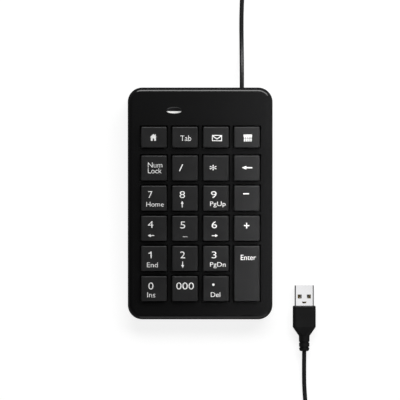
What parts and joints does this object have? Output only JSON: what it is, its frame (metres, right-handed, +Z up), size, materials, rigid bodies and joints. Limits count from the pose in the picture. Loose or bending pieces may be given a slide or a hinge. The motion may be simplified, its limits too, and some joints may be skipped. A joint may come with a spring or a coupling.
{
  "type": "numeric keypad",
  "caption": "Wired numeric keypad: glossy black wedge case, separate low square keys on a membrane stack, a tall Enter key, and a thin cord with a USB-A plug.",
  "frame": {"origin": "on the table under the middle of the case, at the lowest face of the rubber feet; the free cord and plug aren't counted", "axes": "+X to the user's right, +Y from the user to the rear, where the cord leaves, +Z up"},
  "size_m": [0.1784, 0.3162, 0.0246],
  "materials": {
    "cover_gloss": "glossy black ABS",
    "case_black": "fine-textured black ABS",
    "key_black": "satin black ABS with white printed legends",
    "frame_black": "black ABS",
    "wire_steel": "spring steel",
    "silicone": "translucent white silicone",
    "membrane_film": "clear polyester film",
    "plate_steel": "galvanised sheet",
    "screw_steel": "zinc-plated",
    "screw_black": "black zinc",
    "board_green": "solder mask",
    "epoxy_black": "glob top",
    "component_tin": "tinned parts",
    "led_clear": "unlit LED",
    "strip_rubber": "soft rubber",
    "header_white": "nylon",
    "wire_red": "PVC",
    "wire_white": "PVC",
    "wire_green": "PVC",
    "wire_black": "PVC",
    "window_smoked": "smoked clear acrylic, polished",
    "foot_rubber": "soft black rubber",
    "label_silver": "blank silver film",
    "cord_pvc": "satin black PVC",
    "tie_band": "black band",
    "plug_grip": "satin black PVC moulding",
    "plug_nickel": "nickel plate",
    "plug_nylon": "white nylon",
    "contact_gold": "gold flash"
  },
  "bodies": {
    "case": {"base_plate": "plate_steel", "board_passives": "component_tin", "bottom_cover": "case_black", "cable_connector": "header_white", "cable_header": "header_white", "case_screws": "screw_black", "clamp_bar": "plate_steel", "clamp_screws": "screw_steel", "clamp_strip": "strip_rubber", "controller_board": "board_green", "controller_chip": "epoxy_black", "cord_grommet": "cord_pvc", "cord_hank": "cord_pvc", "cord_inside": "cord_pvc", "cord_lead": "cord_pvc", "cord_return": "cord_pvc", "cord_tie": "tie_band", "dome_sheet": "silicone", "indicator_led": "led_clear", "key_frame": "frame_black", "led_window": "window_smoked", "membrane_bottom": "membrane_film", "membrane_spacer": "membrane_film", "membrane_top": "membrane_film", "plate_screws": "screw_steel", "plug_contacts": "contact_gold", "plug_insulator": "plug_nylon", "plug_overmould": "plug_grip", "plug_shell": "plug_nickel", "rating_label": "label_silver", "rubber_feet": "foot_rubber", "top_cover": "cover_gloss", "wire_black": "wire_black", "wire_green": "wire_green", "wire_red": "wire_red", "wire_white": "wire_white"},
    "key_home": {"key_home": "key_black"},
    "key_tab": {"key_tab": "key_black"},
    "key_mail": {"key_mail": "key_black"},
    "key_calculator": {"key_calculator": "key_black"},
    "key_num_lock": {"key_num_lock": "key_black"},
    "key_divide": {"key_divide": "key_black"},
    "key_multiply": {"key_multiply": "key_black"},
    "key_backspace": {"key_backspace": "key_black"},
    "key_7": {"key_7": "key_black"},
    "key_8": {"key_8": "key_black"},
    "key_9": {"key_9": "key_black"},
    "key_minus": {"key_minus": "key_black"},
    "key_4": {"key_4": "key_black"},
    "key_5": {"key_5": "key_black"},
    "key_6": {"key_6": "key_black"},
    "key_plus": {"key_plus": "key_black"},
    "key_1": {"key_1": "key_black"},
    "key_2": {"key_2": "key_black"},
    "key_3": {"key_3": "key_black"},
    "key_enter": {"key_enter": "key_black"},
    "key_0": {"key_0": "key_black"},
    "key_triple_zero": {"key_triple_zero": "key_black"},
    "key_decimal": {"key_decimal": "key_black"},
    "enter_wire": {"enter_stabilizer": "wire_steel"}
  },
  "joints": [
    {"name": "key_home_press", "type": "slide", "parent": "case", "child": "key_home", "axis": [0, 0.0698, -0.9976], "range_m": [0, 0.0023], "stiffness_N_per_m": 200, "springref_m": -0.001, "deforming": ["dome_sheet"]},
    {"name": "key_tab_press", "type": "slide", "parent": "case", "child": "key_tab", "axis": [0, 0.0698, -0.9976], "range_m": [0, 0.0023], "stiffness_N_per_m": 200, "springref_m": -0.001, "deforming": ["dome_sheet"]},
    {"name": "key_mail_press", "type": "slide", "parent": "case", "child": "key_mail", "axis": [0, 0.0698, -0.9976], "range_m": [0, 0.0023], "stiffness_N_per_m": 200, "springref_m": -0.001, "deforming": ["dome_sheet"]},
    {"name": "key_calculator_press", "type": "slide", "parent": "case", "child": "key_calculator", "axis": [0, 0.0698, -0.9976], "range_m": [0, 0.0023], "stiffness_N_per_m": 200, "springref_m": -0.001, "deforming": ["dome_sheet"]},
    {"name": "key_num_lock_press", "type": "slide", "parent": "case", "child": "key_num_lock", "axis": [0, 0.0698, -0.9976], "range_m": [0, 0.0023], "stiffness_N_per_m": 200, "springref_m": -0.001, "deforming": ["dome_sheet"]},
    {"name": "key_divide_press", "type": "slide", "parent": "case", "child": "key_divide", "axis": [0, 0.0698, -0.9976], "range_m": [0, 0.0023], "stiffness_N_per_m": 200, "springref_m": -0.001, "deforming": ["dome_sheet"]},
    {"name": "key_multiply_press", "type": "slide", "parent": "case", "child": "key_multiply", "axis": [0, 0.0698, -0.9976], "range_m": [0, 0.0023], "stiffness_N_per_m": 200, "springref_m": -0.001, "deforming": ["dome_sheet"]},
    {"name": "key_backspace_press", "type": "slide", "parent": "case", "child": "key_backspace", "axis": [0, 0.0698, -0.9976], "range_m": [0, 0.0023], "stiffness_N_per_m": 200, "springref_m": -0.001, "deforming": ["dome_sheet"]},
    {"name": "key_7_press", "type": "slide", "parent": "case", "child": "key_7", "axis": [0, 0.0698, -0.9976], "range_m": [0, 0.0023], "stiffness_N_per_m": 200, "springref_m": -0.001, "deforming": ["dome_sheet"]},
    {"name": "key_8_press", "type": "slide", "parent": "case", "child": "key_8", "axis": [0, 0.0698, -0.9976], "range_m": [0, 0.0023], "stiffness_N_per_m": 200, "springref_m": -0.001, "deforming": ["dome_sheet"]},
    {"name": "key_9_press", "type": "slide", "parent": "case", "child": "key_9", "axis": [0, 0.0698, -0.9976], "range_m": [0, 0.0023], "stiffness_N_per_m": 200, "springref_m": -0.001, "deforming": ["dome_sheet"]},
    {"name": "key_minus_press", "type": "slide", "parent": "case", "child": "key_minus", "axis": [0, 0.0698, -0.9976], "range_m": [0, 0.0023], "stiffness_N_per_m": 200, "springref_m": -0.001, "deforming": ["dome_sheet"]},
    {"name": "key_4_press", "type": "slide", "parent": "case", "child": "key_4", "axis": [0, 0.0698, -0.9976], "range_m": [0, 0.0023], "stiffness_N_per_m": 200, "springref_m": -0.001, "deforming": ["dome_sheet"]},
    {"name": "key_5_press", "type": "slide", "parent": "case", "child": "key_5", "axis": [0, 0.0698, -0.9976], "range_m": [0, 0.0023], "stiffness_N_per_m": 200, "springref_m": -0.001, "deforming": ["dome_sheet"]},
    {"name": "key_6_press", "type": "slide", "parent": "case", "child": "key_6", "axis": [0, 0.0698, -0.9976], "range_m": [0, 0.0023], "stiffness_N_per_m": 200, "springref_m": -0.001, "deforming": ["dome_sheet"]},
    {"name": "key_plus_press", "type": "slide", "parent": "case", "child": "key_plus", "axis": [0, 0.0698, -0.9976], "range_m": [0, 0.0023], "stiffness_N_per_m": 200, "springref_m": -0.001, "deforming": ["dome_sheet"]},
    {"name": "key_1_press", "type": "slide", "parent": "case", "child": "key_1", "axis": [0, 0.0698, -0.9976], "range_m": [0, 0.0023], "stiffness_N_per_m": 200, "springref_m": -0.001, "deforming": ["dome_sheet"]},
    {"name": "key_2_press", "type": "slide", "parent": "case", "child": "key_2", "axis": [0, 0.0698, -0.9976], "range_m": [0, 0.0023], "stiffness_N_per_m": 200, "springref_m": -0.001, "deforming": ["dome_sheet"]},
    {"name": "key_3_press", "type": "slide", "parent": "case", "child": "key_3", "axis": [0, 0.0698, -0.9976], "range_m": [0, 0.0023], "stiffness_N_per_m": 200, "springref_m": -0.001, "deforming": ["dome_sheet"]},
    {"name": "key_enter_press", "type": "slide", "parent": "case", "child": "key_enter", "axis": [0, 0.0698, -0.9976], "range_m": [0, 0.0023], "stiffness_N_per_m": 200, "springref_m": -0.001, "deforming": ["dome_sheet"]},
    {"name": "key_0_press", "type": "slide", "parent": "case", "child": "key_0", "axis": [0, 0.0698, -0.9976], "range_m": [0, 0.0023], "stiffness_N_per_m": 200, "springref_m": -0.001, "deforming": ["dome_sheet"]},
    {"name": "key_triple_zero_press", "type": "slide", "parent": "case", "child": "key_triple_zero", "axis": [0, 0.0698, -0.9976], "range_m": [0, 0.0023], "stiffness_N_per_m": 200, "springref_m": -0.001, "deforming": ["dome_sheet"]},
    {"name": "key_decimal_press", "type": "slide", "parent": "case", "child": "key_decimal", "axis": [0, 0.0698, -0.9976], "range_m": [0, 0.0023], "stiffness_N_per_m": 200, "springref_m": -0.001, "deforming": ["dome_sheet"]},
    {"name": "enter_wire_turn", "type": "hinge", "parent": "case", "child": "enter_wire", "pos_m": [0.02398, -0.04343, 0.01205], "axis": [0, 0.9976, 0.0698], "range_deg": [0, 19.48]}
  ],
  "couplings": [
    {"joint": "enter_wire_turn", "follows": "key_enter_press", "rad_per_m": 145.56}
  ]
}
